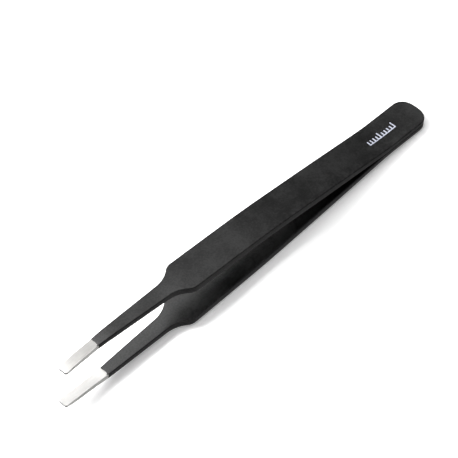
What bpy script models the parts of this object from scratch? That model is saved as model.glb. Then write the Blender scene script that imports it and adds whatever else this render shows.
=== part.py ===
"""Flat-tip precision tweezers with an anti-static coating.

Two spring-steel arms are spot-welded together at the heel and bend apart from there. Each arm is split at
its flexure, so that the working part of the arm can turn about it. A black coating covers everything but
the ends of the tips.

The tweezers are laid out along a centre plane: s is the distance from the heel's end towards the tips, the
upper arm lies above the plane and the lower arm is its mirror image. The rest-pose empty then lays them on
a surface at z = 0, tips towards -X and heel towards +X, on the heel's lower edge and the lower arm's bend.
"""
import math

import bmesh
import bpy
import numpy as np
from mathutils import Matrix

MM = 0.001

# Overall
LENGTH = 120.0 * MM
COAT_THICKNESS = 0.15 * MM
FIT_GAP = 0.05 * MM
COAT_OFFSET = COAT_THICKNESS + FIT_GAP

# Plan outline of the bare steel
GRIP_HALF_WIDTH = 4.3 * MM
HEEL_ROUND_DEPTH = 3.7 * MM
HEEL_ROUND_POWER = 2.5
HEEL_END_HALF_WIDTH = 0.8 * MM
SHOULDER = 82.8 * MM
SHOULDER_ANGLE = math.radians(45.0)
SHOULDER_RADIUS = 8.45 * MM
SHOULDER_ROUND_REACH = 1.2 * MM
SHOULDER_ROUND_SLOPE = 0.8
NECK_TAPER_ANGLE = math.radians(1.9)
NECK_END = 110.0 * MM
TIP_HALF_WIDTH = 1.3 * MM
TIP_CORNER_RADIUS = 0.6 * MM

# Side profile: each bend is its place, the angle to the centre plane beyond it, and its arc's length
WELD_END = 14.7 * MM
BENDS = (
    (WELD_END, math.radians(5.47), 6.0 * MM),
    (58.0 * MM, math.radians(2.33), 14.0 * MM),
    (107.9 * MM, math.radians(-3.0), 4.0 * MM),
)
HEEL_SEAM_GAP = 0.06 * MM

# Thickness of the steel
HEEL_THICKNESS = 1.1 * MM
GRIP_THICKNESS = 1.5 * MM
GRIP_THICKNESS_START = 40.0 * MM
NECK_THICKNESS = 1.2 * MM
NECK_THICKNESS_START = 92.0 * MM
NECK_THICKNESS_END = 104.0 * MM
TIP_THICKNESS = 1.0 * MM
TIP_END_THICKNESS = 0.5 * MM
TIP_TAPER_LENGTH = 5.0 * MM
STEEL_EDGE_BREAK = 0.15 * MM
OFFSET_EDGE_GROWTH = 2.0 - math.sqrt(2.0)

# Flexure
FLEXURE = 25.0 * MM
FLEXURE_GAP = 0.3 * MM

# Spot welds between the two tails
SPOT_WELDS = {"rear_spot_weld": 5.0 * MM, "front_spot_weld": 10.2 * MM}
SPOT_WELD_RADIUS = 1.5 * MM
SPOT_WELD_HEIGHT = 0.7 * MM
SPOT_WELD_SIDES = 32

# Printed scale on the upper face of the heel
MARK_START = 8.6 * MM
MARK_TICKS = 10
MARK_LONG_EVERY = 5
MARK_PITCH = 1.0 * MM
MARK_TICK_WIDTH = 0.36 * MM
MARK_ROWS = (-1.0 * MM, -0.7 * MM, 0.35 * MM, 1.0 * MM)
MARK_THICKNESS = 0.05 * MM

# Spacing of the loft's sections
SECTION_SPACING = 3.0 * MM
BEND_SECTIONS = 8
HEEL_SECTIONS = 12
SHOULDER_SECTIONS = 12
SHOULDER_ROUND_SECTIONS = 6
TIP_SECTIONS = 8
CORNER_SECTIONS = 5
CUTTER_OVERRUN = 1.5 * MM

UPPER = 1.0
LOWER = -1.0

# Where each arm's coating ends and its bare tip starts
COAT_ENDS = {UPPER: 110.0 * MM, LOWER: 106.8 * MM}

FINISHES = {
    "steel": ((0.62, 0.62, 0.60, 1.0), 0.32, 1.0),
    "weld": ((0.45, 0.44, 0.42, 1.0), 0.50, 1.0),
    "coating": ((0.035, 0.036, 0.037, 1.0), 0.55, 0.0),
    "ink": ((0.80, 0.81, 0.84, 1.0), 0.60, 0.0),
}


# ---------------------------------------------------------------- shape of an arm

def middle_height(s):
    """Height of the arm's nominal middle surface over the centre plane, bend by bend."""
    height = (HEEL_SEAM_GAP + HEEL_THICKNESS) / 2 + np.zeros_like(s)
    slope_before = 0.0
    for place, angle, arc in BENDS:
        slope = math.tan(angle)
        along_arc = np.clip(s - place + arc / 2, 0.0, arc)
        past_arc = np.maximum(s - place - arc / 2, 0.0)
        height += (slope - slope_before) * (along_arc ** 2 / (2 * arc) + past_arc)
        slope_before = slope
    return height


def nominal_thickness(s):
    """Thickness of the arm before its tip is ground."""
    steps = (
        (WELD_END, HEEL_THICKNESS),
        (GRIP_THICKNESS_START, GRIP_THICKNESS),
        (SHOULDER, GRIP_THICKNESS),
        (NECK_THICKNESS_START, NECK_THICKNESS),
        (NECK_THICKNESS_END, NECK_THICKNESS),
        (NECK_END, TIP_THICKNESS),
    )
    places, thicknesses = zip(*steps)
    return np.interp(s, places, thicknesses)


def tip_grind(s):
    """Metal ground off the outer face of the tip, from nothing where the taper starts."""
    along = np.clip((s - LENGTH + TIP_TAPER_LENGTH) / TIP_TAPER_LENGTH, 0.0, 1.0)
    return (TIP_THICKNESS - TIP_END_THICKNESS) * along ** 2


def inner_height(s, offset=0.0):
    """Height of the face that looks at the other arm, moved out of the metal by the offset."""
    return middle_height(s) - nominal_thickness(s) / 2 - offset


def outer_height(s, offset=0.0):
    """Height of the face under the finger, moved out of the metal by the offset."""
    return middle_height(s) + nominal_thickness(s) / 2 - tip_grind(s) + offset


def shoulder_arc(offset):
    """Centre and radius of the concave shoulder, and the two places where its outline starts and ends."""
    centre_s = SHOULDER + SHOULDER_RADIUS * math.sin(SHOULDER_ANGLE)
    centre_w = GRIP_HALF_WIDTH + SHOULDER_RADIUS * math.cos(SHOULDER_ANGLE)
    radius = SHOULDER_RADIUS - offset
    start_angle = math.acos((centre_w - GRIP_HALF_WIDTH - offset) / radius)
    start = centre_s - radius * math.sin(start_angle)
    end = centre_s - radius * math.sin(NECK_TAPER_ANGLE)
    return centre_s, centre_w, radius, start, end


def heel_half_width(s, offset):
    """Half width of the rounded heel end, which is a superellipse in plan."""
    depth = HEEL_ROUND_DEPTH + offset
    from_end = np.clip(s - COAT_OFFSET + offset, 0.0, depth)
    along = 1.0 - from_end / depth
    power = HEEL_ROUND_POWER
    curve = (GRIP_HALF_WIDTH + offset) * (1.0 - along ** power) ** (1.0 / power)
    return np.maximum(curve, HEEL_END_HALF_WIDTH)


def neck_half_width(s, offset):
    """Half width along the shoulder's arc, the tapered neck and the tip with its rounded corners."""
    centre_s, centre_w, radius, start, end = shoulder_arc(offset)
    on_arc = np.clip(s, start, end)
    width = centre_w - np.sqrt(radius ** 2 - (on_arc - centre_s) ** 2)
    width -= np.clip(s - end, 0.0, NECK_END - end) * math.tan(NECK_TAPER_ANGLE)
    neck_end_width = centre_w - radius * math.cos(NECK_TAPER_ANGLE)
    neck_end_width -= (NECK_END - end) * math.tan(NECK_TAPER_ANGLE)
    widening = (TIP_HALF_WIDTH + offset - neck_end_width) / (LENGTH - NECK_END)
    width += np.maximum(s - NECK_END, 0.0) * widening
    into_corner = np.clip(s - LENGTH + TIP_CORNER_RADIUS, 0.0, TIP_CORNER_RADIUS)
    width -= TIP_CORNER_RADIUS - np.sqrt(TIP_CORNER_RADIUS ** 2 - into_corner ** 2)
    return width


def half_width(s, offset=0.0):
    """Half width of the whole arm in plan, moved out of the metal by the offset."""
    start = shoulder_arc(offset)[3]
    reach = SHOULDER_ROUND_REACH
    into_round = np.clip(s - start + reach, 0.0, 2 * reach)
    grip = GRIP_HALF_WIDTH + offset - SHOULDER_ROUND_SLOPE * into_round ** 2 / (4 * reach)
    width = np.minimum(grip, heel_half_width(s, offset))
    return np.where(s > start, np.minimum(width, neck_half_width(s, offset)), width)


def round_places(offset):
    """Sections that the rounded stretches of the outline need, in plan and in side view."""
    turn = np.linspace(0.0, math.pi / 2, HEEL_SECTIONS + 1)
    heel = COAT_OFFSET - offset + (HEEL_ROUND_DEPTH + offset) * (1.0 - np.cos(turn))
    centre_s, _, radius, start, end = shoulder_arc(offset)
    angles = np.linspace(math.asin((centre_s - start) / radius), NECK_TAPER_ANGLE, SHOULDER_SECTIONS + 1)
    shoulder = centre_s - radius * np.sin(angles)
    corner_turn = np.linspace(0.0, math.pi / 2, CORNER_SECTIONS + 1)
    corner = LENGTH - TIP_CORNER_RADIUS + TIP_CORNER_RADIUS * np.sin(corner_turn)
    taper = np.linspace(LENGTH - TIP_TAPER_LENGTH, LENGTH, TIP_SECTIONS + 1)
    bends = [np.linspace(place - arc / 2, place + arc / 2, BEND_SECTIONS + 1) for place, _, arc in BENDS]
    reach = SHOULDER_ROUND_REACH
    shoulder_round = np.linspace(start - reach, start + reach, SHOULDER_ROUND_SECTIONS + 1)
    breaks = [GRIP_THICKNESS_START, NECK_THICKNESS_START, NECK_THICKNESS_END, NECK_END]
    return np.concatenate([heel, shoulder, shoulder_round, corner, taper, breaks] + bends)


def section_places(first, last, offset):
    """Places of the loft's sections between its two ends, in order and never closer than a hair."""
    even = np.arange(first, last, SECTION_SPACING)
    inside = np.concatenate([even, round_places(offset)])
    hair = 0.02 * MM
    inside = np.sort(inside[(inside > first + hair) & (inside < last - hair)])
    spaced = inside[np.concatenate([[True], np.diff(inside) > hair])]
    return np.concatenate([[first], spaced, [last]])


def arm_rings(first, last, offset, side, origin):
    """Eight-sided sections of an arm: a rectangle with its four edges broken.

    The rings are an array of sections by corners by x, y, z, measured from the origin. Their corners run
    anticlockwise as seen from the heel.
    """
    s = section_places(first, last, offset)
    width = half_width(s, offset)
    low = inner_height(s, offset)
    high = outer_height(s, offset)
    edge = np.minimum(STEEL_EDGE_BREAK, (high - low) / 4) + OFFSET_EDGE_GROWTH * offset
    y = np.stack([width - edge, width, width, width - edge], axis=1)
    z = np.stack([low, low + edge, high - edge, high], axis=1)
    y = np.concatenate([y, -y[:, ::-1]], axis=1)
    z = np.concatenate([z, z[:, ::-1]], axis=1) * side
    x = np.repeat(-s[:, None], y.shape[1], axis=1)
    rings = np.stack([x, y, z], axis=2) - np.asarray(origin)
    return rings if side == UPPER else rings[:, ::-1]


# ---------------------------------------------------------------- making objects

def clear_scene():
    """Remove every object of the scene."""
    for obj in list(bpy.data.objects):
        bpy.data.objects.remove(obj, do_unlink=True)


def new_collection(name):
    """A collection linked to the scene."""
    collection = bpy.data.collections.new(name)
    bpy.context.scene.collection.children.link(collection)
    return collection


def new_material(name, finish):
    """A Principled material with the finish's colour, roughness and metallic value."""
    colour, roughness, metallic = FINISHES[finish]
    material = bpy.data.materials.new(name)
    material.use_nodes = True
    shader = material.node_tree.nodes["Principled BSDF"]
    shader.inputs["Base Color"].default_value = colour
    shader.inputs["Roughness"].default_value = roughness
    shader.inputs["Metallic"].default_value = metallic
    return material


def new_object(name, mesh, collection, parent, finish=None):
    """An object in a collection, under its parent, with a material of its own."""
    obj = bpy.data.objects.new(name, mesh)
    collection.objects.link(obj)
    obj.parent = parent
    if finish:
        mesh.materials.append(new_material(name, finish))
    return obj


def as_cutter(obj):
    """Mark an object as one that only shapes others."""
    obj.hide_render = True
    obj.display_type = "WIRE"
    return obj


def loft_mesh(name, rings, capped=True):
    """A mesh through rings of points that run anticlockwise as seen from the first, with or without caps."""
    count, corners = rings.shape[:2]
    bm = bmesh.new()
    verts = [[bm.verts.new(point) for point in ring] for ring in rings]
    for i in range(count - 1):
        for j in range(corners):
            k = (j + 1) % corners
            bm.faces.new((verts[i][j], verts[i + 1][j], verts[i + 1][k], verts[i][k]))
    if capped:
        bm.faces.new(verts[0])
        bm.faces.new(reversed(verts[-1]))
    mesh = bpy.data.meshes.new(name)
    bm.to_mesh(mesh)
    bm.free()
    return mesh


def arm_object(name, first, last, offset, side, collection, parent, origin, finish=None):
    """A stretch of one arm, as steel or as the outer or inner wall of its coating."""
    mesh = loft_mesh(name, arm_rings(first, last, offset, side, origin))
    return new_object(name, mesh, collection, parent, finish)


def add_boolean(obj, operation, other):
    """An exact Boolean with another object."""
    modifier = obj.modifiers.new(other.name, "BOOLEAN")
    modifier.operation = operation
    modifier.solver = "EXACT"
    modifier.object = other


def disc_mesh(name, radius, height):
    """A closed cylinder about z, centred on its origin."""
    bm = bmesh.new()
    half_a_side = Matrix.Rotation(math.pi / SPOT_WELD_SIDES, 4, "Z")
    bmesh.ops.create_cone(
        bm,
        cap_ends=True,
        segments=SPOT_WELD_SIDES,
        radius1=radius,
        radius2=radius,
        depth=height,
        matrix=half_a_side,
    )
    mesh = bpy.data.meshes.new(name)
    bm.to_mesh(mesh)
    bm.free()
    return mesh


# ---------------------------------------------------------------- the pieces

def build_rest_pose():
    """The empty that lays the tweezers down, with the heel's lower edge and the lower bend at z = 0."""
    s = section_places(0.0, COAT_ENDS[LOWER], COAT_OFFSET)[1:]
    heel_height = float(outer_height(np.zeros(1), COAT_OFFSET)[0])
    tip_height = float(outer_height(np.array([LENGTH]))[0])
    tilt = math.atan(float(np.max((outer_height(s, COAT_OFFSET) - heel_height) / s)))
    empty = bpy.data.objects.new("rest_pose", None)
    bpy.context.scene.collection.objects.link(empty)
    reach = LENGTH * math.cos(tilt) + (tip_height - heel_height) * math.sin(tilt)
    empty.location = (reach / 2, 0.0, heel_height * math.cos(tilt))
    empty.rotation_euler = (0.0, tilt, 0.0)
    return empty


def build_flexure_axis(name, side, rest_pose):
    """The empty on a flexure's axis, half way through the arm's thickness."""
    empty = bpy.data.objects.new(name, None)
    bpy.context.scene.collection.objects.link(empty)
    empty.parent = rest_pose
    empty.location = (-FLEXURE, 0.0, side * float(middle_height(np.array([FLEXURE]))[0]))
    return empty


def build_tail(name, side, parts, cutters, rest_pose):
    """The welded end of an arm, up to the flexure, with its half of each weld's pocket."""
    end = FLEXURE - FLEXURE_GAP / 2
    tail = arm_object(name, COAT_OFFSET, end, 0.0, side, parts, rest_pose, (0.0, 0.0, 0.0), "steel")
    for weld, place in SPOT_WELDS.items():
        mesh = disc_mesh("pocket", SPOT_WELD_RADIUS + FIT_GAP, SPOT_WELD_HEIGHT + 2 * FIT_GAP)
        pocket = as_cutter(new_object(f"{name}_{weld}_pocket", mesh, cutters, rest_pose))
        pocket.location = (-place, 0.0, 0.0)
        add_boolean(tail, "DIFFERENCE", pocket)


def build_spot_welds(parts, rest_pose):
    """The fused discs that hold the two tails together."""
    for name, place in SPOT_WELDS.items():
        mesh = disc_mesh(name, SPOT_WELD_RADIUS, SPOT_WELD_HEIGHT)
        weld = new_object(name, mesh, parts, rest_pose, "weld")
        weld.location = (-place, 0.0, 0.0)


def build_heel_coating(parts, cutters, rest_pose):
    """One film over both tails: two coated tails joined, less the room that the steel takes."""
    end = FLEXURE - FLEXURE_GAP / 2
    here = (0.0, 0.0, 0.0)
    coating = arm_object("heel_coating", 0.0, end, COAT_OFFSET, UPPER, parts, rest_pose, here, "coating")
    lower_half = arm_object("lower_half", 0.0, end, COAT_OFFSET, LOWER, cutters, rest_pose, here)
    add_boolean(coating, "UNION", as_cutter(lower_half))
    for name, side in (("upper_tail_room", UPPER), ("lower_tail_room", LOWER)):
        room = arm_object(
            name, COAT_THICKNESS, end + CUTTER_OVERRUN, FIT_GAP, side, cutters, rest_pose, here
        )
        add_boolean(coating, "DIFFERENCE", as_cutter(room))


def build_blade(name, side, parts, axis):
    """The working part of an arm, from the flexure to the bare flat tip."""
    start = FLEXURE + FLEXURE_GAP / 2
    origin = (-FLEXURE, 0.0, axis.location.z)
    arm_object(name, start, LENGTH, 0.0, side, parts, axis, origin, "steel")


def build_blade_coating(name, side, parts, axis):
    """The sleeve of coating over a blade, open at the flexure and where the bare tip comes out."""
    start = FLEXURE + FLEXURE_GAP / 2
    origin = (-FLEXURE, 0.0, axis.location.z)
    mesh = loft_mesh(name, arm_rings(start, COAT_ENDS[side], COAT_OFFSET, side, origin), capped=False)
    sleeve = new_object(name, mesh, parts, axis, "coating")
    solidify = sleeve.modifiers.new("film", "SOLIDIFY")
    solidify.thickness = COAT_THICKNESS
    solidify.offset = -1.0
    solidify.use_even_offset = True


def mark_cells():
    """Edges along s of the printed scale's cells, and whether each column of cells is a tick."""
    edges = []
    ticks = []
    for tick in range(MARK_TICKS):
        start = MARK_START + tick * MARK_PITCH
        edges += [start, start + MARK_TICK_WIDTH]
        ticks += [tick, None]
    return edges, ticks[:-1]


def build_printed_mark(parts, rest_pose):
    """A short printed scale: ticks on a base line, every fifth one long, as one thin film of ink."""
    edges, ticks = mark_cells()
    bm = bmesh.new()
    lift = COAT_OFFSET + FIT_GAP
    heights = outer_height(np.array(edges), lift)
    verts = [[bm.verts.new((-s, y, z)) for y in MARK_ROWS] for s, z in zip(edges, heights)]
    for column, tick in enumerate(ticks):
        rows = 1
        if tick is not None:
            rows = len(MARK_ROWS) - 1 if tick % MARK_LONG_EVERY == 0 else len(MARK_ROWS) - 2
        for row in range(rows):
            near, far = verts[column], verts[column + 1]
            bm.faces.new((near[row], near[row + 1], far[row + 1], far[row]))
    loose = [vert for vert in bm.verts if not vert.link_faces]
    bmesh.ops.delete(bm, geom=loose, context="VERTS")
    mesh = bpy.data.meshes.new("printed_mark")
    bm.to_mesh(mesh)
    bm.free()
    mark = new_object("printed_mark", mesh, parts, rest_pose, "ink")
    solidify = mark.modifiers.new("film", "SOLIDIFY")
    solidify.thickness = MARK_THICKNESS
    solidify.offset = 1.0


def main():
    """Build the tweezers."""
    clear_scene()
    parts = new_collection("precision_tweezers")
    cutters = new_collection("cutters")
    rest_pose = build_rest_pose()
    build_heel_coating(parts, cutters, rest_pose)
    build_spot_welds(parts, rest_pose)
    build_printed_mark(parts, rest_pose)
    for word, side in (("upper", UPPER), ("lower", LOWER)):
        axis = build_flexure_axis(f"{word}_flexure_axis", side, rest_pose)
        build_tail(f"{word}_tail", side, parts, cutters, rest_pose)
        build_blade(f"{word}_blade", side, parts, axis)
        build_blade_coating(f"{word}_blade_coating", side, parts, axis)


main()
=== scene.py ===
"""Flat-tip precision tweezers with a black anti-static coating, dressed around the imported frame.

Sizes are in metres. Along an arm, s is the distance from the heel's end towards the tips, y runs across the
arm and z is the height over the plane between the two arms. Lay turns these into the row frame.
"""
import logging
import math
from dataclasses import dataclass, field
from enum import Enum, IntEnum
from typing import Any, Sequence

import bmesh
import bpy
import numpy as np
from mathutils import Matrix, Vector
from numpy.typing import NDArray


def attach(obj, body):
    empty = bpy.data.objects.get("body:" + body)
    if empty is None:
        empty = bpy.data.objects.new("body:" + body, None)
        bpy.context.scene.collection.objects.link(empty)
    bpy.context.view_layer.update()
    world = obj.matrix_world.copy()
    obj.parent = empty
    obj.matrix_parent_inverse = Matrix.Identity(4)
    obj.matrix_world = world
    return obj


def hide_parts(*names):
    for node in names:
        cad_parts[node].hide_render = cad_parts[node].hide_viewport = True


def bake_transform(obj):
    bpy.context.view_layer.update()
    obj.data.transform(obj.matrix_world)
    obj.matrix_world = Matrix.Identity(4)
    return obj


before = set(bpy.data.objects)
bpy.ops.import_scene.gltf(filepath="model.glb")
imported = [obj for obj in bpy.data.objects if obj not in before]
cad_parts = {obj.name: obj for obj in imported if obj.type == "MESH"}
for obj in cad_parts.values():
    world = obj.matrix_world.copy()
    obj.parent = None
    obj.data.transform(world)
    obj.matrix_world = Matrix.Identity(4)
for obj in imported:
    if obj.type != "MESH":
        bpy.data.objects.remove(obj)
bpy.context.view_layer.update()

Array = NDArray[np.float64]
Indices = NDArray[np.int64]
MM = 0.001
FILM_HEIGHT = 0.2 * MM  # how far the coating's surface stands over the steel
MERGE_DISTANCE = 0.0002 * MM
SHORTEST_EDGE = 0.0001 * MM
WHITE = "ffffff"
LOG = logging.getLogger("tweezers")


class Arm(Enum):
    """The two spring arms, by the side of the centre plane that each one lies on."""

    UPPER = 1
    LOWER = -1

    @property
    def word(self) -> str:
        """The arm's word in the names of nodes, bodies and pieces."""
        return self.name.lower()

    @property
    def body(self) -> str:
        """The body that the arm's working end rides on."""
        return f"{self.word}_arm"


class Slot(str, Enum):
    """The record's material slots that the new pieces take."""

    STEEL = "steel"
    COATING = "coating"
    INK = "ink"


class Face(IntEnum):
    """A side of a steel strip, by the place of its finish in FACE_FINISHES_AND_PAINTED_LIGHT."""

    OUTER = 0
    INNER = 1
    WALL = 2


# ---------------------------------------------------------------- meshes

def ease(t: Array) -> Array:
    """Smooth step from 0 to 1: three t squared less two t cubed, with t held between 0 and 1.

    Args:
        t: Where along the step, below 0 before it and above 1 after it.

    Returns:
        The step's height at each place.
    """
    t = np.clip(t, 0.0, 1.0)
    return t * t * (3.0 - 2.0 * t)


def grid_faces(rows: int, columns: int) -> Indices:
    """Quads of a grid whose columns close into a ring, as indices row by row.

    Args:
        rows: Number of rings.
        columns: Points in each ring.

    Returns:
        One line of four indices for each quad.
    """
    row, column = np.meshgrid(np.arange(rows - 1), np.arange(columns), indexing="ij")
    beside = (column + 1) % columns
    quads = [row * columns + column, (row + 1) * columns + column]
    quads += [(row + 1) * columns + beside, row * columns + beside]
    return np.stack(quads, axis=-1).reshape(-1, 4)


def enclosed_volume(points: Array, quads: Indices) -> float:
    """Volume inside a closed grid, as the sum of the signed tetrahedra under its two halves of each quad.

    Args:
        points: The grid's points, one to a line.
        quads: The grid's faces.

    Returns:
        The volume, negative where the faces look inwards.
    """
    a, b, c, d = (points[quads[:, k]] for k in range(4))
    halves = np.einsum("ij,ij->i", a, np.cross(b, c)) + np.einsum("ij,ij->i", a, np.cross(c, d))
    return float(halves.sum() / 6.0)


def mesh_object(name: str, points: Array, quads: Indices,
                finishes_and_painted_light: Indices | None = None) -> bpy.types.Object:
    """A smooth closed mesh at the origin, its faces outwards and its poles closed.

    Args:
        name: Name of the piece.
        points: Points in the row frame.
        quads: Faces, all of them turned the same way.
        finishes_and_painted_light: Place of each face's material in the piece's list, if there is more than one.

    Returns:
        The new object, linked to the scene.
    """
    middle = points.mean(axis=0)
    if enclosed_volume(points - middle, quads) < 0.0:
        quads = quads[:, ::-1]
    mesh = bpy.data.meshes.new(name)
    mesh.from_pydata(points.tolist(), [], quads.tolist())
    if finishes_and_painted_light is not None:
        mesh.polygons.foreach_set("material_index", finishes_and_painted_light)
    bm = bmesh.new()
    bm.from_mesh(mesh)
    bmesh.ops.remove_doubles(bm, verts=bm.verts, dist=MERGE_DISTANCE)
    bmesh.ops.dissolve_degenerate(bm, edges=bm.edges, dist=SHORTEST_EDGE)
    bm.to_mesh(mesh)
    bm.free()
    mesh.polygons.foreach_set("use_smooth", np.ones(len(mesh.polygons), dtype=bool))
    obj = bpy.data.objects.new(name, mesh)
    bpy.context.scene.collection.objects.link(obj)
    return obj


# ---------------------------------------------------------------- shape of an arm

@dataclass(frozen=True)
class Bend:
    """A bend across an arm: its place, the angle to the centre plane beyond it, and the length of its arc."""

    place: float
    angle: float
    arc: float


@dataclass(frozen=True)
class SideProfile:
    """An arm seen from the side: its bends, and the thickness of the steel."""

    length: float = 120.0 * MM
    seam_gap: float = 0.06 * MM
    bends: tuple[Bend, ...] = (
        Bend(14.7 * MM, math.radians(5.47), 6.0 * MM),
        Bend(58.0 * MM, math.radians(2.33), 14.0 * MM),
        Bend(107.9 * MM, math.radians(-3.0), 4.0 * MM),
    )
    thickness_places: tuple[float, ...] = (14.7 * MM, 40.0 * MM, 82.8 * MM, 92.0 * MM, 104.0 * MM, 110.0 * MM)
    thicknesses: tuple[float, ...] = (1.1 * MM, 1.5 * MM, 1.5 * MM, 1.2 * MM, 1.2 * MM, 1.0 * MM)
    grind_length: float = 5.0 * MM
    end_thickness: float = 0.5 * MM

    def middle(self, s: Array) -> Array:
        """Height of the middle of the steel: each bend adds its change of slope, eased in along its arc.

        Args:
            s: Distance from the heel's end.

        Returns:
            Height over the plane between the arms.
        """
        height = np.full_like(s, (self.seam_gap + self.thicknesses[0]) / 2)
        slope_before = 0.0
        for bend in self.bends:
            slope = math.tan(bend.angle)
            along = np.clip(s - bend.place + bend.arc / 2, 0.0, bend.arc)
            past = np.maximum(s - bend.place - bend.arc / 2, 0.0)
            height += (slope - slope_before) * (along ** 2 / (2 * bend.arc) + past)
            slope_before = slope
        return height

    def thickness(self, s: Array) -> Array:
        """Thickness of the steel: a smooth step from each place's value to the next one's.

        Args:
            s: Distance from the heel's end.

        Returns:
            The thickness there.
        """
        value = np.full_like(s, self.thicknesses[0])
        for k in range(1, len(self.thicknesses)):
            start, end = self.thickness_places[k - 1], self.thickness_places[k]
            value += (self.thicknesses[k] - self.thicknesses[k - 1]) * ease((s - start) / (end - start))
        return value

    def outer(self, s: Array) -> Array:
        """Height of the finger's face: the middle plus half the thickness, less the tip's ground curve.

        Args:
            s: Distance from the heel's end.

        Returns:
            Height over the plane between the arms.
        """
        along = np.clip((s - self.length + self.grind_length) / self.grind_length, 0.0, 1.0)
        ground = (self.thicknesses[-1] - self.end_thickness) * along ** 2
        return self.middle(s) + self.thickness(s) / 2 - ground

    def inner(self, s: Array) -> Array:
        """Height of the face that looks at the other arm: middle less half the thickness."""
        return self.middle(s) - self.thickness(s) / 2


@dataclass(frozen=True)
class PlanOutline:
    """Half of an arm's outline seen from above: rounded heel, grip, concave shoulder, neck and tip."""

    heel_start: float = 0.2 * MM
    grip_half_width: float = 4.3 * MM
    heel_round: float = 3.7 * MM
    heel_power: float = 2.5
    shoulder: float = 82.8 * MM
    shoulder_angle: float = math.radians(45.0)
    shoulder_radius: float = 8.45 * MM
    corner_reach: float = 1.2 * MM
    corner_slope: float = 0.8
    neck_taper: float = math.radians(1.9)
    neck_end: float = 110.0 * MM
    tip_half_width: float = 1.3 * MM
    tip_end: float = 120.0 * MM
    tip_round: float = 0.9 * MM
    tip_power: float = 4.0
    row_spacing: float = 1.2 * MM
    corner_rows: int = 14
    shoulder_rows: int = 26
    end_fractions: tuple[float, ...] = (
        0.0, 0.12, 0.23, 0.34, 0.44, 0.54, 0.63, 0.71, 0.78, 0.84, 0.89, 0.93, 0.96, 0.98, 0.993, 1.0)

    def neck(self, s: Array) -> Array:
        """Half width past the shoulder: a concave arc, a straight taper, then the tip's slight widening.

        Args:
            s: Distance from the heel's end.

        Returns:
            Distance from the middle line to the outline.
        """
        radius, angle = self.shoulder_radius, self.shoulder_angle
        centre = self.shoulder + radius * math.sin(angle)
        middle = self.grip_half_width + radius * math.cos(angle)
        arc_end = centre - radius * math.sin(self.neck_taper)
        on_arc = np.clip(s, self.shoulder, arc_end)
        width = middle - np.sqrt(radius ** 2 - (on_arc - centre) ** 2)
        slope = math.tan(self.neck_taper)
        width -= np.clip(s - arc_end, 0.0, self.neck_end - arc_end) * slope
        at_neck_end = middle - radius * math.cos(self.neck_taper) - (self.neck_end - arc_end) * slope
        widening = (self.tip_half_width - at_neck_end) / (self.tip_end - self.neck_end)
        return width + np.maximum(s - self.neck_end, 0.0) * widening

    def body(self, s: Array) -> Array:
        """Half width without the round ends: the grip, less a parabola into the shoulder, then the neck.

        Args:
            s: Distance from the heel's end.

        Returns:
            Distance from the middle line to the outline.
        """
        reach = self.corner_reach
        into = np.clip(s - self.shoulder + reach, 0.0, 2 * reach)
        grip = self.grip_half_width - self.corner_slope * into ** 2 / (4 * reach)
        return np.where(s > self.shoulder, np.minimum(grip, self.neck(s)), grip)

    def path(self) -> tuple[Array, Array, Array]:
        """The outline from the middle of the heel's end to the middle of the tip's end.

        Both ends are superellipses: the width falls to a fraction f of the body's where the rest of the end's
        depth is (1 - f to the power p) to the power 1 / p. The normal at a point is square to the line
        between its neighbours.

        Returns:
            Place along the arm, half width, and unit outward normal (along s, across) of each point.
        """
        f = np.array(self.end_fractions)
        heel_depth = (1.0 - f ** self.heel_power) ** (1.0 / self.heel_power)
        tip_depth = (1.0 - f ** self.tip_power) ** (1.0 / self.tip_power)
        heel = self.heel_start + self.heel_round * (1.0 - heel_depth)
        tip = self.tip_end - self.tip_round * (1.0 - tip_depth)
        reach = self.corner_reach
        corner = np.linspace(self.shoulder - reach, self.shoulder + reach, self.corner_rows)
        arc_end = self.shoulder + self.shoulder_radius * math.sin(self.shoulder_angle)
        arc = np.linspace(corner[-1], arc_end, self.shoulder_rows)[1:]
        before = np.linspace(heel[-1], corner[0], round((corner[0] - heel[-1]) / self.row_spacing))[1:-1]
        after = np.linspace(arc[-1], tip[-1], round((tip[-1] - arc[-1]) / self.row_spacing))[1:-1]
        s = np.concatenate([heel, before, corner, arc, after, tip[::-1]])
        share = np.ones_like(s)
        share[:len(f)] = f
        share[-len(f):] = f[::-1]
        width = self.body(s) * share
        along, across = np.gradient(s), np.gradient(width)
        size = np.hypot(along, across)
        normal = np.stack([-across / size, along / size], axis=1)
        normal[0] = (-1.0, 0.0)
        normal[-1] = (1.0, 0.0)
        return s, width, normal


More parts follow.
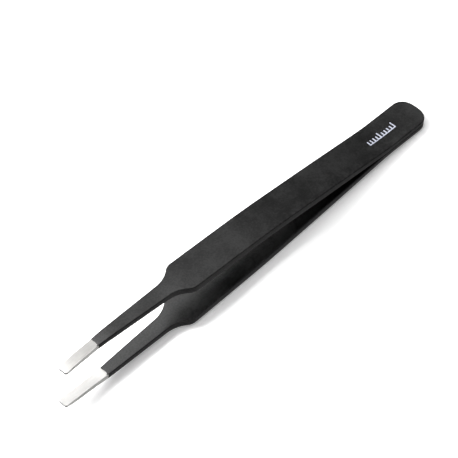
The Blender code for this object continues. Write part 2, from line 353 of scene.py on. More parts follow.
@dataclass(frozen=True)
class SectionRing:
    """Points round an arm's section: two flat faces and two walls, joined by quarter-round edges."""

    outer_radius: float
    inner_radius: float
    edge_steps: int = 6
    face_shares: tuple[float, ...] = (0.0, 0.2, 0.4, 0.58, 0.74, 0.87, 0.95, 0.985)

    def columns(self) -> dict[str, Array]:
        """What each point of the ring is, going round from the middle of the outer face.

        A wall has one point halfway down it, at the full width, between its two rounded edges.

        Returns:
            side: 1 or -1 for the half across the arm.
            share: Part of the half width.
            inset: Distance in from the outline.
            depth: 0 on the outer face's side, 1 on the inner face's side.
            sink: Distance below the face.
        """
        turn = np.linspace(0.0, math.pi / 2, self.edge_steps + 1)
        shares = np.array(self.face_shares)
        flat, edge = np.ones_like(shares), np.ones_like(turn)
        share = np.concatenate([shares, edge, [1.0], edge, shares[::-1]])
        outer, inner = self.outer_radius, self.inner_radius
        inset = np.concatenate([
            outer * flat, outer * (1.0 - np.sin(turn)), [0.0], inner * (1.0 - np.cos(turn)), inner * flat])
        sink = np.concatenate([
            0.0 * flat, outer * (1.0 - np.cos(turn)), [0.0], inner * (1.0 - np.sin(turn)), 0.0 * flat])
        depth = np.concatenate([0.0 * flat, 0.0 * edge, [0.5], edge, flat])
        back = slice(-2, 0, -1)
        half = {"share": share, "inset": inset, "sink": sink, "depth": depth}
        ring = {key: np.concatenate([value, value[back]]) for key, value in half.items()}
        ring["side"] = np.concatenate([np.ones(len(share)), -np.ones(len(share) - 2)])
        return ring


@dataclass(frozen=True)
class Lay:
    """How the tweezers lie: on the heel's lower edge and on the lower arm's bend, tips towards -X."""

    tilt: float
    heel: Vector

    @classmethod
    def on_surface(cls, profile: SideProfile, film: float, first: float = 1.0 * MM, last: float = 106.0 * MM,
                   samples: int = 2000) -> "Lay":
        """Tilt so that the highest of the coated outer face's lines of sight from the heel lies flat.

        Args:
            profile: Side view of an arm.
            film: Height of the coating's surface over the steel.
            first: Distance from the heel's end to the first place that is looked at.
            last: Distance to the last one, still on the coating.
            samples: Number of places that are looked at.

        Returns:
            The lay, with the heel's lower edge on the surface.
        """
        s = np.linspace(first, last, samples)
        heel_height = float(profile.outer(np.zeros(1))[0]) + film
        tilt = math.atan(float(np.max((profile.outer(s) + film - heel_height) / s)))
        tip_height = float(profile.outer(np.array([profile.length]))[0])
        reach = profile.length * math.cos(tilt) + (tip_height - heel_height) * math.sin(tilt)
        return cls(tilt, Vector((reach / 2, 0.0, heel_height * math.cos(tilt))))

    def place(self, s: Array, y: Array, z: Array) -> Array:
        """Points of the row frame: s turned down by the tilt about the heel's end, then moved to the heel.

        Args:
            s: Distance from the heel's end.
            y: Distance across.
            z: Height over the plane between the arms.

        Returns:
            Points, with x, y and z on the last axis.
        """
        cos, sin = math.cos(self.tilt), math.sin(self.tilt)
        x = self.heel.x - s * cos + z * sin
        return np.stack([x, y + self.heel.y, self.heel.z + s * sin + z * cos], axis=-1)


# ---------------------------------------------------------------- materials

def linear(colour: str) -> tuple[float, float, float, float]:
    """An sRGB hex colour as linear RGBA: below 0.04045 a twelfth and a bit, above it the 2.4 power curve.

    Args:
        colour: Six hex digits, such as "c8c6c0".

    Returns:
        Red, green and blue, and an alpha of 1.
    """
    values = np.array([int(colour[k:k + 2], 16) for k in (0, 2, 4)]) / 255.0
    curved = np.where(values <= 0.04045, values / 12.92, ((values + 0.055) / 1.055) ** 2.4)
    return (*(float(value) for value in curved), 1.0)


def per_metre(size: float) -> float:
    """A texture's scale from the real size of one of its features, in metres."""
    return 1.0 / size


def add_node(tree: bpy.types.NodeTree, kind: str, links: dict[str, Any] | None = None,
             inputs: dict[str, Any] | None = None, stops: Sequence[tuple[float, Any]] = (),
             **settings: Any) -> bpy.types.Node:
    """A node with its settings, its inputs' values, its colour stops and its links.

    Args:
        tree: Where the node goes.
        kind: Blender's name of the node.
        links: Output sockets by the name of the input that each one feeds.
        inputs: Values by the name of the input.
        stops: Place and linear colour of each stop, where the node is a colour ramp.
        **settings: Attributes of the node.

    Returns:
        The new node.
    """
    node = tree.nodes.new(kind)
    for key, value in settings.items():
        setattr(node, key, value)
    for key, value in (inputs or {}).items():
        node.inputs[key].default_value = value
    for k, (place, colour) in enumerate(stops):
        node.color_ramp.elements[k].position = place
        node.color_ramp.elements[k].color = colour
    for key, socket in (links or {}).items():
        tree.links.new(socket, node.inputs[key])
    return node


def new_shader(name: str, sockets: dict[str, Any]) -> tuple[bpy.types.Material, bpy.types.Node]:
    """A node material and its Principled shader, with constants set on the shader's own sockets.

    Args:
        name: Name of the material.
        sockets: Values by the name of the socket.

    Returns:
        The material and its shader.
    """
    material = bpy.data.materials.new(name)
    material.use_nodes = True
    shader = material.node_tree.nodes["Principled BSDF"]
    for key, value in sockets.items():
        shader.inputs[key].default_value = value
    return material, shader


@dataclass(frozen=True)
class MattCoating:
    """Anti-static epoxy coating, sprayed and baked: matt black, with a fine orange peel."""

    name: str = "antistatic_epoxy_sprayed_matt_black"
    dark: str = "040404"
    light: str = "1b1b1b"
    ior: float = 1.5
    roughness_low: float = 0.30
    roughness_high: float = 0.37
    peel_size: float = 0.55 * MM
    peel_height: float = 0.010 * MM
    grit_size: float = 0.45 * MM
    grit_height: float = 0.008 * MM
    patch_size: float = 7.0 * MM
    grit_share: float = 0.62
    dark_until: float = 0.44
    light_from: float = 0.56
    shine_span: tuple[float, float] = (0.3, 0.7)

    def make(self) -> bpy.types.Material:
        """The orange peel blurs the reflections, and slow patches make some of the film a little shinier.

        Real grit is about 0.1 mm. It is drawn coarser, so that the film shows its grain.

        Returns:
            The material.
        """
        material, shader = new_shader(self.name, {"IOR": self.ior, "Metallic": 0.0})
        tree = material.node_tree
        place = add_node(tree, "ShaderNodeTexCoord").outputs["Object"]
        patches = add_node(tree, "ShaderNodeTexNoise", {"Vector": place},
                           {"Scale": per_metre(self.patch_size), "Detail": 4.0, "Roughness": 0.6})
        speckle = add_node(tree, "ShaderNodeTexNoise", {"Vector": place},
                           {"Scale": per_metre(self.grit_size), "Detail": 2.0, "Roughness": 0.7})
        mixed = add_node(tree, "ShaderNodeMix", {"A": patches.outputs["Fac"], "B": speckle.outputs["Fac"]},
                         {"Factor": self.grit_share})
        stops = ((self.dark_until, linear(self.dark)), (self.light_from, linear(self.light)))
        colour = add_node(tree, "ShaderNodeValToRGB", {"Fac": mixed.outputs["Result"]}, stops=stops)
        tree.links.new(colour.outputs["Color"], shader.inputs["Base Color"])
        shine = add_node(tree, "ShaderNodeMapRange", {"Value": patches.outputs["Fac"]}, {
            "From Min": self.shine_span[0], "From Max": self.shine_span[1],
            "To Min": self.roughness_low, "To Max": self.roughness_high})
        tree.links.new(shine.outputs["Result"], shader.inputs["Roughness"])
        peel = add_node(tree, "ShaderNodeTexVoronoi", {"Vector": place},
                        {"Scale": per_metre(self.peel_size), "Smoothness": 1.0}, feature="SMOOTH_F1")
        coarse = add_node(tree, "ShaderNodeBump", {"Height": peel.outputs["Distance"]},
                          {"Strength": 1.0, "Distance": self.peel_height})
        fine = add_node(tree, "ShaderNodeBump",
                        {"Height": speckle.outputs["Fac"], "Normal": coarse.outputs["Normal"]},
                        {"Strength": 1.0, "Distance": self.grit_height})
        tree.links.new(fine.outputs["Normal"], shader.inputs["Normal"])
        return material


@dataclass(frozen=True)
class GroundSteel:
    """Stainless spring steel, ground along the tip: grey, with fine lengthwise lines."""

    name: str
    dark: str
    light: str
    roughness_low: float
    roughness_high: float
    metallic: float = 1.0
    anisotropy: float = 0.35
    line_width: float = 0.16 * MM
    line_length: float = 6.0 * MM
    line_depth: float = 0.0012 * MM
    stain_size: float = 2.4 * MM
    stain_share: float = 0.4
    dark_until: float = 0.35
    light_from: float = 0.65
    shine_span: tuple[float, float] = (0.3, 0.7)

    def make(self) -> bpy.types.Material:
        """The brushed lines are drawn about three times as wide as real ones, so that they show.

        Returns:
            The material.
        """
        material, shader = new_shader(self.name, {"Metallic": self.metallic, "Anisotropic": self.anisotropy})
        tree = material.node_tree
        place = add_node(tree, "ShaderNodeTexCoord").outputs["Object"]
        stretch = (per_metre(self.line_length), per_metre(self.line_width), per_metre(self.line_width))
        along = add_node(tree, "ShaderNodeMapping", {"Vector": place}, {"Scale": stretch})
        lines = add_node(tree, "ShaderNodeTexNoise", {"Vector": along.outputs["Vector"]},
                         {"Scale": 1.0, "Detail": 5.0, "Roughness": 0.65})
        stains = add_node(tree, "ShaderNodeTexNoise", {"Vector": place},
                          {"Scale": per_metre(self.stain_size), "Detail": 3.0, "Roughness": 0.5})
        mixed = add_node(tree, "ShaderNodeMix", {"A": lines.outputs["Fac"], "B": stains.outputs["Fac"]},
                         {"Factor": self.stain_share})
        stops = ((self.dark_until, linear(self.dark)), (self.light_from, linear(self.light)))
        colour = add_node(tree, "ShaderNodeValToRGB", {"Fac": mixed.outputs["Result"]}, stops=stops)
        tree.links.new(colour.outputs["Color"], shader.inputs["Base Color"])
        shine = add_node(tree, "ShaderNodeMapRange", {"Value": mixed.outputs["Result"]}, {
            "From Min": self.shine_span[0], "From Max": self.shine_span[1],
            "To Min": self.roughness_low, "To Max": self.roughness_high})
        tree.links.new(shine.outputs["Result"], shader.inputs["Roughness"])
        bump = add_node(tree, "ShaderNodeBump", {"Height": lines.outputs["Fac"]},
                        {"Strength": 1.0, "Distance": self.line_depth})
        tree.links.new(bump.outputs["Normal"], shader.inputs["Normal"])
        direction = add_node(tree, "ShaderNodeTangent", direction_type="RADIAL", axis="X")
        tree.links.new(direction.outputs["Tangent"], shader.inputs["Tangent"])
        return material


# In the order of Face. The steel is one material, and its tone on each side is painted light: the outer face
# is painted darker, as shade, the inner face much paler, as a painted highlight, and the walls paler and less
# metallic, as painted light.
FACE_FINISHES_AND_PAINTED_LIGHT = (
    # Outer face: painted darker, as shade.
    GroundSteel("stainless_spring_steel_brushed_painted_shade", dark="979694", light="aaa9a7",
                roughness_low=0.46, roughness_high=0.56),
    # Inner face: painted much paler, as a highlight.
    GroundSteel("stainless_spring_steel_satin_ground", dark="dcdbd9", light="ebeae8",
                roughness_low=0.46, roughness_high=0.58),
    # Walls: painted paler and less metallic, as light.
    GroundSteel("stainless_spring_steel_wall_painted_light", dark="aeadab", light="c1c0be",
                roughness_low=0.5, roughness_high=0.6, metallic=0.35),
)


@dataclass(frozen=True)
class FusedSteel:
    """A spot weld's fused steel: dull, grey-brown and slightly rippled."""

    name: str = "spot_weld_fused_steel"
    dark: str = "77726b"
    light: str = "a29d96"
    roughness: float = 0.5
    ripple_size: float = 0.7 * MM
    ripple_height: float = 0.01 * MM
    dark_until: float = 0.35
    light_from: float = 0.65

    def make(self) -> bpy.types.Material:
        """Heat leaves patches of tint, and the ripples break up the shine.

        Returns:
            The material.
        """
        material, shader = new_shader(self.name, {"Metallic": 1.0, "Roughness": self.roughness})
        tree = material.node_tree
        place = add_node(tree, "ShaderNodeTexCoord").outputs["Object"]
        ripples = add_node(tree, "ShaderNodeTexNoise", {"Vector": place},
                           {"Scale": per_metre(self.ripple_size), "Detail": 4.0})
        stops = ((self.dark_until, linear(self.dark)), (self.light_from, linear(self.light)))
        colour = add_node(tree, "ShaderNodeValToRGB", {"Fac": ripples.outputs["Fac"]}, stops=stops)
        tree.links.new(colour.outputs["Color"], shader.inputs["Base Color"])
        bump = add_node(tree, "ShaderNodeBump", {"Height": ripples.outputs["Fac"]},
                        {"Distance": self.ripple_height})
        tree.links.new(bump.outputs["Normal"], shader.inputs["Normal"])
        return material


@dataclass(frozen=True)
class PadPrintInk:
    """Pad-printed ink: an off-white film with a cool tint, thinner in spots where the black shows through."""

    name: str = "pad_printed_ink_white"
    thin: str = "6c6f7c"
    full: str = "a3a6b3"
    roughness: float = 0.55
    spot_size: float = 0.35 * MM
    film_height: float = 0.004 * MM
    thin_until: float = 0.34
    full_from: float = 0.5

    def make(self) -> bpy.types.Material:
        """Uneven ink shows as small greyer spots, which are also slightly lower.

        Returns:
            The material.
        """
        material, shader = new_shader(self.name, {"Roughness": self.roughness})
        tree = material.node_tree
        place = add_node(tree, "ShaderNodeTexCoord").outputs["Object"]
        spots = add_node(tree, "ShaderNodeTexNoise", {"Vector": place},
                         {"Scale": per_metre(self.spot_size), "Detail": 3.0, "Roughness": 0.6})
        stops = ((self.thin_until, linear(self.thin)), (self.full_from, linear(self.full)))
        colour = add_node(tree, "ShaderNodeValToRGB", {"Fac": spots.outputs["Fac"]}, stops=stops)
        tree.links.new(colour.outputs["Color"], shader.inputs["Base Color"])
        bump = add_node(tree, "ShaderNodeBump", {"Height": spots.outputs["Fac"]},
                        {"Distance": self.film_height})
        tree.links.new(bump.outputs["Normal"], shader.inputs["Normal"])
        return material


@dataclass(frozen=True)
class OpalTable:
    """A light table's opal acrylic top, sanded matt: plain white, and lit a little from below."""

    name: str = "light_table_opal_acrylic_sanded"
    colour: str = "f4f4f4"
    glow: float = 0.26
    roughness: float = 0.9
    sheen: float = 0.1

    def make(self) -> bpy.types.Material:
        """The light from below thins the shadows, and the sheen is too weak to see.

        Returns:
            The material.
        """
        return new_shader(self.name, {
            "Base Color": linear(self.colour), "Roughness": self.roughness,
            "Specular IOR Level": self.sheen, "Emission Color": linear(WHITE),
            "Emission Strength": self.glow})[0]


# ---------------------------------------------------------------- the pieces

@dataclass
class FlexZone:
    """Where an arm bends as it is squeezed: from just past the printed scale to the start of the grip."""

    start: float = 18.5 * MM
    end: float = 42.0 * MM

    def bend(self, piece: bpy.types.Object, arm: Arm, lay: Lay) -> None:
        """Bake a piece's transform into its mesh.

        Args:
            piece: The finished mesh, with no parent.
            arm: The arm that it belongs to.
            lay: How the tweezers lie.
        """
        zero = np.zeros(1)
        start, end = (lay.place(np.array([s]), zero, zero)[0] for s in (self.start, self.end))
        arm.body
        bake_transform(piece)


@dataclass
class SteelArm:
    """One arm's steel strip, from inside the heel to the bare flat tip."""

    arm: Arm
    profile: SideProfile
    outline: PlanOutline
    lay: Lay
    flex: FlexZone
    bare_from: float
    proud: float = 0.15 * MM
    proud_at_end: float = 0.05 * MM
    step_start: float = -0.35 * MM
    step_end: float = 0.10 * MM
    step_rows: int = 8
    end_turn: float = 0.3
    ring: SectionRing = field(default_factory=lambda: SectionRing(0.16 * MM, 0.12 * MM))

    def rows(self) -> Array:
        """Places of the rows: the outline's points, and more of them where the bare steel steps out."""
        start, end = self.bare_from + self.step_start, self.bare_from + self.step_end
        return np.sort(np.concatenate([self.outline.path()[0], np.linspace(start, end, self.step_rows)]))

    def surface(self) -> Array:
        """The strip's grid: the ring's points carried along the outline.

        A point is the outline's point moved along the normal, out by how proud the row stands and in by the
        point's inset, and then, across the arm, times its share of the width. Its height runs from the outer
        face, less its sink, to the inner face, plus its sink. Where the coating ends, the bare steel steps
        out to be almost flush with it, and from there it thins to the tip: an eased step, less an eased fall.

        Returns:
            Rows by columns by s, y, z, measured on the arm's own side of the centre plane.
        """
        s, width, normal = self.outline.path()
        start, end = self.bare_from + self.step_start, self.bare_from + self.step_end
        row = self.rows()
        fall = (self.proud - self.proud_at_end) * ease((row - end) / (s[-1] - end))
        proud = (self.proud * ease((row - start) / (end - start)) - fall)[:, None]
        ring = self.ring.columns()
        move = proud - ring["inset"]
        along = row[:, None] + move * np.interp(row, s, normal[:, 0])[:, None]
        reach = np.interp(row, s, width)[:, None] + move * np.interp(row, s, normal[:, 1])[:, None]
        across = np.maximum(reach, 0.0) * ring["share"] * ring["side"]
        outer = self.profile.outer(along) + proud - ring["sink"]
        inner = self.profile.inner(along) - proud + ring["sink"]
        height = outer * (1.0 - ring["depth"]) + inner * ring["depth"]
        return np.stack([along, across, height], axis=-1)

    def finishes_and_painted_light(self) -> Indices:
        """Which side of the strip each of the mesh's faces is on, for its finish and its painted tone.

        The walls of the tip's end, where the outline turns across the arm, are ground like the outer face and
        take its painted darker tone.

        Returns:
            A place in FACE_FINISHES_AND_PAINTED_LIGHT for each face.
        """
        s, _, normal = self.outline.path()
        turned = np.interp(self.rows()[:-1], s, normal[:, 0]) > self.end_turn
        ring = self.ring.columns()
        flat = ring["sink"] + np.roll(ring["sink"], -1) == 0.0
        depth = ring["depth"] + np.roll(ring["depth"], -1)
        outer, inner = flat & (depth == 0.0), flat & (depth == 2.0)
        wall = np.where(turned, Face.OUTER, Face.WALL)[:, None]
        return np.where(outer, Face.OUTER, np.where(inner, Face.INNER, wall)).astype(np.int64).ravel()

    def build(self) -> bpy.types.Object:
        """Make the strip's mesh, in place.

        Returns:
            The piece, still without finishes.
        """
        grid = self.surface()
        points = self.lay.place(grid[..., 0], grid[..., 1], grid[..., 2] * self.arm.value)
        faces = grid_faces(*grid.shape[:2])
        return mesh_object(f"{self.arm.word}_arm_steel", points.reshape(-1, 3), faces, self.finishes_and_painted_light())

    def dress(self, piece: bpy.types.Object, finishes_and_painted_light: Sequence[bpy.types.Material]) -> None:
        """Give the strip its steel materials, with their painted tones, bake its transform into its mesh, and
        hide the imported blade and tail that it replaces.

        Args:
            piece: The strip's object.
            finishes_and_painted_light: The steel finishes, in the order of FACE_FINISHES_AND_PAINTED_LIGHT.
        """
        for finish in finishes_and_painted_light:
            piece.data.materials.append(finish)
        self.flex.bend(piece, self.arm, self.lay)
        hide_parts(f"{self.arm.word}_blade", f"{self.arm.word}_tail")


@dataclass
class CoatEdge:
    """Where one arm's coating ends: an uneven line round the arm, a little further on at one edge.

    A wave is how often it goes round the arm, its height, and its start as part of a turn.
    """

    place: float
    waves: tuple[tuple[int, float, float], ...]
    run: float
    run_at: float
    run_width: float = 0.05

    def line(self, turn: Array) -> Array:
        """Place of the edge: its mean place, plus a few sines round the arm, plus one bell-shaped run.

        Args:
            turn: Part of the way round the section, from 0 to 1.

        Returns:
            Distance from the heel's end.
        """
        place = np.full_like(turn, self.place)
        for count, height, phase in self.waves:
            place += height * np.sin(2.0 * math.pi * (count * turn + phase))
        apart = (turn - self.run_at + 0.5) % 1.0 - 0.5
        return place + self.run * np.exp(-(apart / self.run_width) ** 2)


@dataclass
class CoatedArm:
    """One arm's coating: a film over the strip, closed at the heel and open where the bare tip comes out."""

    arm: Arm
    profile: SideProfile
    outline: PlanOutline
    lay: Lay
    flex: FlexZone
    edge: CoatEdge
    height: float = FILM_HEIGHT
    inside: float = 0.012 * MM
    seam: float = 0.004 * MM
    lip_steps: int = 5
    lip_length: float = 0.16 * MM
    settle_length: float = 5.0 * MM
    inner_step: int = 3
    ring: SectionRing = field(default_factory=lambda: SectionRing(0.26 * MM, 0.20 * MM))

    def rows(self) -> tuple[Array, Array]:
        """Rows along the film: out along its outer side, round its lip, and back along its inner side.

        The lip is a quarter ellipse, from the film's full height to its underside.

        Returns:
            Place of each row on the steel's outline, and the film's height over the steel there.
        """
        s = self.outline.path()[0]
        out = s[s < self.edge.place - 2 * self.lip_length]
        turn = np.linspace(0.0, math.pi / 2, self.lip_steps + 1)
        lip = self.edge.place - self.lip_length * (1.0 - np.sin(turn))
        lip_height = self.inside + (self.height - self.inside) * np.cos(turn)
        back = out[::-1][::self.inner_step]
        back = np.append(back[:-1] if back[-1] == out[0] else back, out[0])
        heights = [np.full_like(out, self.height), lip_height, np.full_like(back, self.inside)]
        return np.concatenate([out, lip, back]), np.concatenate(heights)

    def surface(self) -> Array:
        """The film's grid: the ring's points carried along the outline, moved out by the film's height.

        Near the edge, every column's rows are drawn along the arm to the edge's uneven line. The two arms'
        films meet at the seam in the heel, so the inner face never goes below it, and the film's underside
        stays twice as far from it.

        Returns:
            Rows by columns by s, y, z, measured on the arm's own side of the centre plane.
        """
        s, width, normal = self.outline.path()
        row, film = self.rows()
        ring = self.ring.columns()
        turn = np.arange(len(ring["side"])) / len(ring["side"])
        settle = ease((row - self.edge.place + self.settle_length) / self.settle_length)
        on_steel = row[:, None] + settle[:, None] * (self.edge.line(turn) - self.edge.place)[None, :]
        steel_width = np.interp(on_steel, s, width)
        normal_s = np.interp(on_steel, s, normal[:, 0])
        normal_y = np.interp(on_steel, s, normal[:, 1])
        move = film[:, None] - ring["inset"][None, :]
        along = on_steel + move * normal_s
        across = np.maximum(steel_width + move * normal_y, 0.0) * ring["share"] * ring["side"]
        outer = self.profile.outer(along) + film[:, None] - ring["sink"]
        floor = np.where(film > 0.5 * self.height, self.seam, 2 * self.seam)[:, None]
        inner = np.maximum(self.profile.inner(along) - film[:, None], floor) + ring["sink"]
        height = outer * (1.0 - ring["depth"]) + inner * ring["depth"]
        return np.stack([along, across, height], axis=-1)

    def build(self) -> bpy.types.Object:
        """Make the film's mesh, in place.

        Returns:
            The piece, still without a finish.
        """
        grid = self.surface()
        points = self.lay.place(grid[..., 0], grid[..., 1], grid[..., 2] * self.arm.value)
        faces = grid_faces(*grid.shape[:2])
        return mesh_object(f"{self.arm.word}_arm_coating", points.reshape(-1, 3), faces)

    def dress(self, piece: bpy.types.Object, finish: bpy.types.Material) -> None:
        """Give the film its finish, bake its transform into its mesh, and hide the imported coating that it
        replaces.

        Args:
            piece: The film's object.
            finish: The coating's material.
        """
        piece.data.materials.append(finish)
        self.flex.bend(piece, self.arm, self.lay)
        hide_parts(f"{self.arm.word}_blade_coating", "heel_coating")


@dataclass
class PrintedScale:
    """A plain scale printed on the heel: ten ticks on a base line, every fifth tick long."""

    profile: SideProfile
    lay: Lay
    film: float = FILM_HEIGHT
    start: float = 8.6 * MM
    pitch: float = 1.0 * MM
    tick_width: float = 0.36 * MM
    ticks: int = 10
    long_every: int = 5
    base_side: float = -1.0 * MM
    base_width: float = 0.3 * MM
    short_end: float = 0.35 * MM
    long_end: float = 1.0 * MM
    thickness: float = 0.02 * MM
    sunk: float = 0.01 * MM
    power: float = 5.0
    steps_round: int = 40
    rings: tuple[tuple[float, float], ...] = (
        (0.0, 1.0), (0.55, 1.0), (0.9, 0.97), (1.0, 0.6), (1.0, 0.0), (0.0, 0.0))

    def pad(self, middle: tuple[float, float], reach: tuple[float, float]) -> tuple[Array, Indices]:
        """One low pad of ink, as rings of a superellipse about its middle, closed above and below.

        A ring is its share of the reach and its share of the thickness over the film. Its points are that
        reach times the cosine and sine of the turn, each to the power of two over the superellipse's power.

        Args:
            middle: Place along s and y.
            reach: Half size along s and y.

        Returns:
            Points in the row frame, and faces.
        """
        turn = np.linspace(0.0, 2.0 * math.pi, self.steps_round, endpoint=False)
        cos, sin = np.cos(turn), np.sin(turn)
        share, level = np.array(self.rings).T[:, :, None]
        s = middle[0] + reach[0] * share * np.sign(cos) * np.abs(cos) ** (2.0 / self.power)
        y = middle[1] + reach[1] * share * np.sign(sin) * np.abs(sin) ** (2.0 / self.power)
        z = self.profile.outer(s) + self.film - self.sunk + (self.thickness + self.sunk) * level
        points = self.lay.place(s, y, z)
        return points.reshape(-1, 3), grid_faces(*s.shape)

    def build(self) -> bpy.types.Object:
        """Make the scale's mesh, in place: the base line's pad, then a pad for each tick.

        Returns:
            The piece, still without a finish.
        """
        length = (self.ticks - 1) * self.pitch + self.tick_width
        base_middle = (self.start + length / 2, self.base_side + self.base_width / 2)
        pads = [self.pad(base_middle, (length / 2, self.base_width / 2))]
        for tick in range(self.ticks):
            end = self.long_end if tick % self.long_every == 0 else self.short_end
            middle = (self.start + tick * self.pitch + self.tick_width / 2, (self.base_side + end) / 2)
            pads.append(self.pad(middle, (self.tick_width / 2, (end - self.base_side) / 2)))
        count = len(pads[0][0])
        points = np.concatenate([pad[0] for pad in pads])
        faces = np.concatenate([pad[1] + k * count for k, pad in enumerate(pads)])
        return mesh_object("printed_scale", points, faces)

    def dress(self, piece: bpy.types.Object, finish: bpy.types.Material) -> None:
        """Give the scale its finish and its place in the frame.

        Args:
            piece: The scale's object.
            finish: The ink's material.
        """
        piece.data.materials.append(finish)
        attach(piece, "heel")
        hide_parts("printed_mark")


@dataclass
class Tweezers:
    """The whole tool: two steel arms in their coating, two hidden spot welds and the printed scale."""

    profile: SideProfile = field(default_factory=SideProfile)
    outline: PlanOutline = field(default_factory=PlanOutline)
    flex: FlexZone = field(default_factory=FlexZone)
    weld_nodes: tuple[str, ...] = ("rear_spot_weld", "front_spot_weld")
    edges: dict[Arm, CoatEdge] = field(default_factory=lambda: {
        Arm.UPPER: CoatEdge(110.0 * MM, ((1, 0.05 * MM, 0.1), (4, 0.08 * MM, 0.3), (9, 0.05 * MM, 0.7)),
                            run_at=0.86, run=0.7 * MM),
        Arm.LOWER: CoatEdge(106.8 * MM, ((1, 0.06 * MM, 0.6), (5, 0.09 * MM, 0.2), (11, 0.05 * MM, 0.4)),
                            run_at=0.62, run=0.4 * MM),
    })

    def build(self) -> None:
        """Build and dress every piece, and report each one."""
        lay = Lay.on_surface(self.profile, FILM_HEIGHT)
        coating = MattCoating().make()
        # The steel's face materials, each side painted its own tone for the light that falls on it.
        steels = [finish.make() for finish in FACE_FINISHES_AND_PAINTED_LIGHT]
        for arm in Arm:
            strip = SteelArm(arm, self.profile, self.outline, lay, self.flex, self.edges[arm].place)
            piece = strip.build()
            strip.dress(piece, steels)
            report(piece)
            film = CoatedArm(arm, self.profile, self.outline, lay, self.flex, self.edges[arm])
            piece = film.build()
            film.dress(piece, coating)
            report(piece)
        scale = PrintedScale(self.profile, lay)
        piece = scale.build()
        scale.dress(piece, PadPrintInk().make())
        report(piece)
        fused = FusedSteel().make()
        for name in self.weld_nodes:
            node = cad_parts[name]
            node.data.materials.clear()
            node.data.materials.append(fused)
            report(node)


def report(piece: bpy.types.Object) -> None:
    """Log a piece's name and its number of faces."""
    LOG.info("%s: %d faces", piece.name, len(piece.data.polygons))


# ---------------------------------------------------------------- studio

@dataclass
class SoftBox:
    """A rectangular soft light: where it hangs, what it looks at, its two sides and its radiance."""

    name: str
    place: tuple[float, float, float]
    aim: tuple[float, float, float]
    size: tuple[float, float]
    radiance: float
    colour: str = WHITE

    def build(self) -> bpy.types.Object:
        """Hang the light. Its power is its radiance times pi times its area.

        Returns:
            The light's object.
        """
        light = bpy.data.lights.new(self.name, "AREA")
        light.shape = "RECTANGLE"
        light.size, light.size_y = self.size
        light.energy = self.radiance * math.pi * self.size[0] * self.size[1]
        light.color = linear(self.colour)[:3]
        lamp = bpy.data.objects.new(self.name, light)
        bpy.context.scene.collection.objects.link(lamp)
        lamp.location = self.place
        back = Vector(self.place) - Vector(self.aim)
        lamp.rotation_euler = back.to_track_quat("Z", "Y").to_euler()
        return lamp


@dataclass
class Viewpoint:
    """The camera: what it looks at, from where round and above, how far, its roll and its lens.

    The lens and the sensor are in millimetres, as cameras give them.
    """

    target: tuple[float, float, float] = (-0.47 * MM, 5.34 * MM, 6.5 * MM)
    azimuth: float = math.radians(-46.70)
    elevation: float = math.radians(52.28)
    roll: float = math.radians(-0.15)
    distance: float = 600.0 * MM
    lens: float = 203.68
    sensor: float = 36.0
    clip_start: float = 10.0 * MM

    def build(self) -> bpy.types.Object:
        """Place the camera on the line out from the target, looking back along it.

        Returns:
            The camera's object.
        """
        back = Vector((
            math.sin(self.azimuth) * math.cos(self.elevation),
            -math.cos(self.azimuth) * math.cos(self.elevation),
            math.sin(self.elevation),
        ))
        right = Vector((0.0, 0.0, 1.0)).cross(back).normalized()
        up = back.cross(right)
        turned_right = right * math.cos(self.roll) + up * math.sin(self.roll)
        turned_up = up * math.cos(self.roll) - right * math.sin(self.roll)
        data = bpy.data.cameras.new("camera")
        data.lens = self.lens
        data.sensor_width = self.sensor
        data.clip_start = self.clip_start
        data.dof.use_dof = False
        camera = bpy.data.objects.new("camera", data)
        bpy.context.scene.collection.objects.link(camera)
        turn = Matrix((turned_right, turned_up, back)).transposed().to_4x4()
        camera.matrix_world = Matrix.Translation(Vector(self.target) + back * self.distance) @ turn
        bpy.context.scene.camera = camera
        return camera


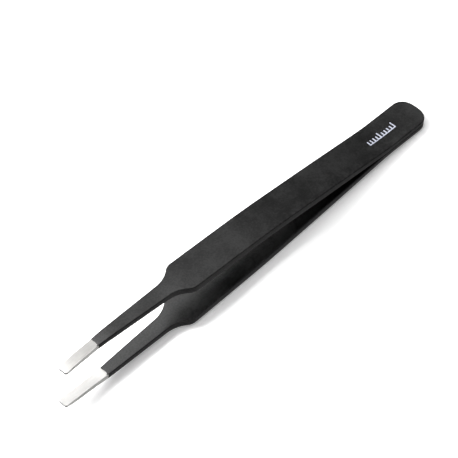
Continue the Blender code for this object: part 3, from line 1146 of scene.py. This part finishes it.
@dataclass
class Studio:
    """A white light table under one large softbox, with a strong fill behind and a weak one in front."""

    floor_half: float = 3.0
    floor_points: int = 3
    room_edge: float = 0.1
    room_above: float = 0.12
    room_below: float = 0.22
    boxes: tuple[SoftBox, ...] = (
        SoftBox("overhead", (-0.10, 0.20, 0.55), (-0.10, 0.20, 0.0), (0.9, 0.5), 3.3),
        SoftBox("back_fill", (-0.40, 0.60, 0.62), (0.0, 0.0, 0.0), (0.5, 0.5), 26.0),
        SoftBox("front_fill", (-0.30, -0.60, 0.45), (0.0, 0.0, 0.0), (0.7, 0.7), 0.5),
    )

    def floor(self) -> bpy.types.Object:
        """The table top: a flat grid about the tweezers, with z at 0 all over.

        Returns:
            The floor's object.
        """
        count = self.floor_points
        x, y = np.meshgrid(*[np.linspace(-self.floor_half, self.floor_half, count)] * 2, indexing="ij")
        points = np.stack([x, y, np.zeros_like(x)], axis=-1).reshape(-1, 3)
        row, column = np.meshgrid(np.arange(count - 1), np.arange(count - 1), indexing="ij")
        corner = (row * count + column).ravel()
        faces = np.stack([corner, corner + count, corner + count + 1, corner + 1], axis=-1)
        mesh = bpy.data.meshes.new("floor")
        mesh.from_pydata(points.tolist(), [], faces.tolist())
        mesh.materials.append(OpalTable().make())
        obj = bpy.data.objects.new("floor", mesh)
        bpy.context.scene.collection.objects.link(obj)
        obj.visible_glossy = False
        return obj

    def build(self) -> None:
        """Lay the floor, hang the lights and set the room's own light, which changes at the horizon."""
        self.floor()
        for box in self.boxes:
            box.build()
        world = bpy.data.worlds.new("room")
        world.use_nodes = True
        tree = world.node_tree
        place = add_node(tree, "ShaderNodeTexCoord").outputs["Generated"]
        parts = add_node(tree, "ShaderNodeSeparateXYZ", {"Vector": place})
        strength = add_node(tree, "ShaderNodeMapRange", {"Value": parts.outputs["Z"]}, {
            "From Min": -self.room_edge, "From Max": self.room_edge,
            "To Min": self.room_below, "To Max": self.room_above})
        tree.links.new(strength.outputs["Result"], tree.nodes["Background"].inputs["Strength"])
        tree.nodes["Background"].inputs["Color"].default_value = linear(WHITE)
        bpy.context.scene.world = world
        bpy.context.scene.view_settings.view_transform = "Standard"


def main() -> None:
    """Build the camera, the tweezers and the studio."""
    logging.basicConfig(level=logging.INFO, format="%(name)s %(message)s")
    Viewpoint().build()
    Tweezers().build()
    Studio().build()


if __name__ == "__main__":
    main()
